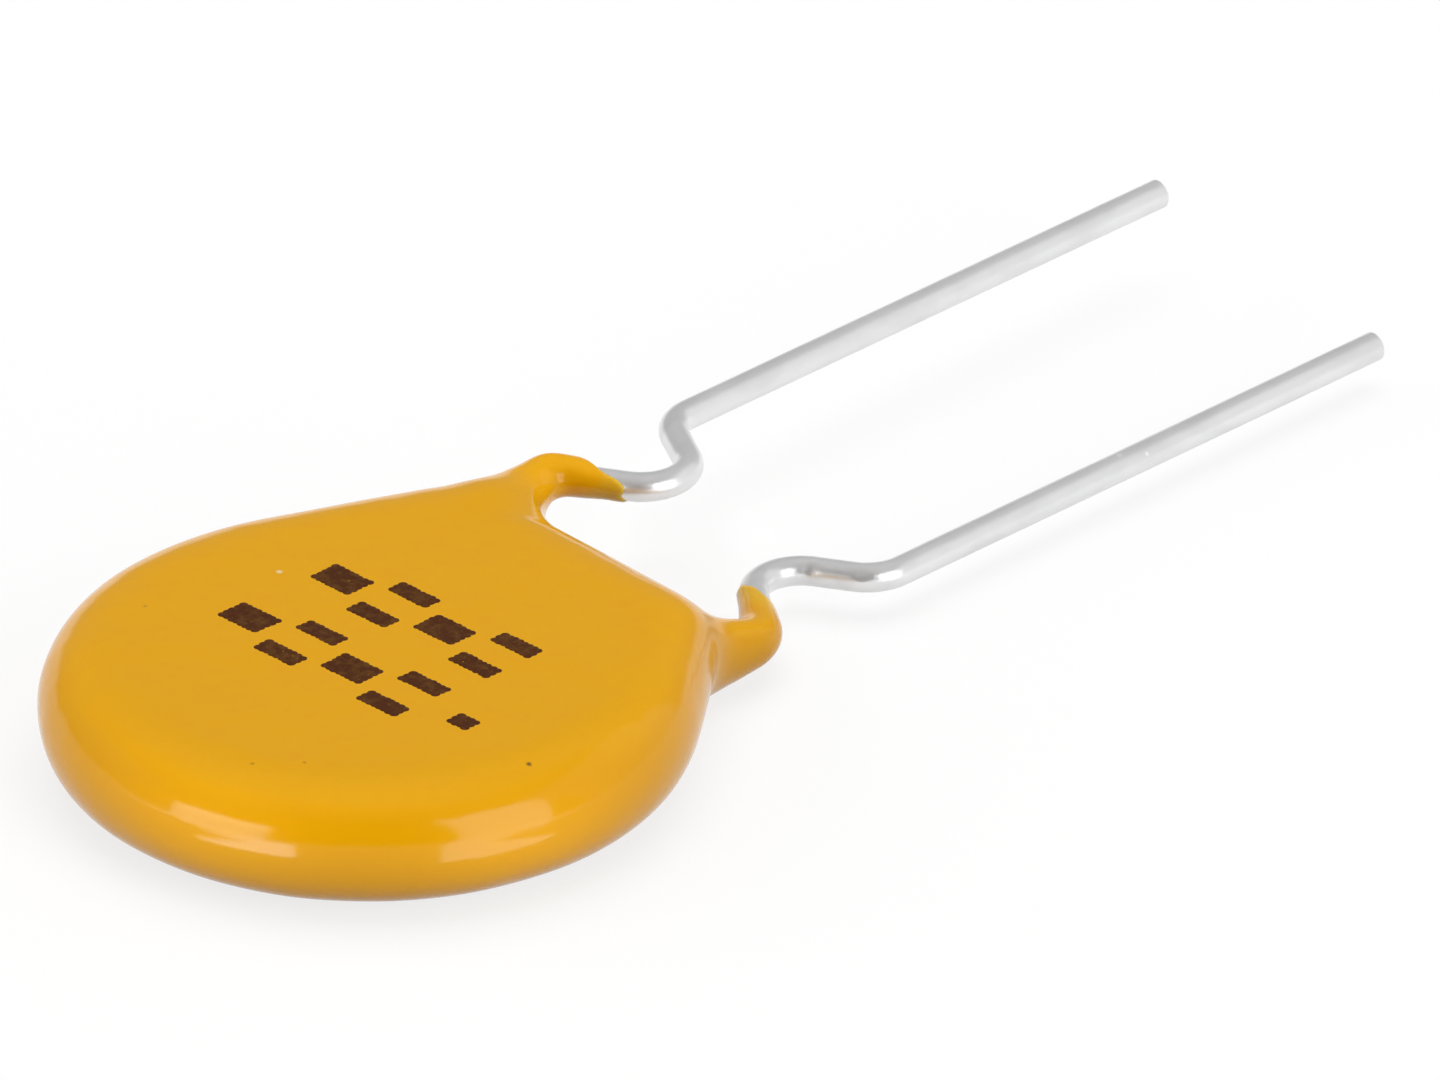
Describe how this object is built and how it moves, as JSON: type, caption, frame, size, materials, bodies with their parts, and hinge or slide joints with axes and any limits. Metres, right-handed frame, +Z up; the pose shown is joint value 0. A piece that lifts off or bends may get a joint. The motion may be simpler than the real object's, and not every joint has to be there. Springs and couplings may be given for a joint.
{
  "type": "resettable fuse",
  "caption": "Yellow epoxy-dipped disc with kinked radial wire leads; the polymer element inside limits overcurrent and resets as it cools.",
  "frame": {"origin": "centre of the round disc, on the flat rear face that the part lies on", "axes": "+X along the leads, away from the disc; +Y from the rear lead to the front lead; +Z up, out of the front face"},
  "size_m": [0.0272, 0.0112, 0.0023],
  "materials": {
    "coating": "glossy ochre yellow epoxy dip, slightly uneven",
    "chip": "matt black carbon-filled polymer",
    "foil": "satin nickel foil",
    "lead": "bright tinned copper wire",
    "solder": "satin tin solder",
    "print": "dark brown marking ink"
  },
  "bodies": {
    "root": {"coating": "coating", "ptc_chip": "chip", "front_foil": "foil", "rear_foil": "foil", "front_lead": "lead", "rear_lead": "lead", "front_solder": "solder", "rear_solder": "solder"}
  },
  "joints": []
}
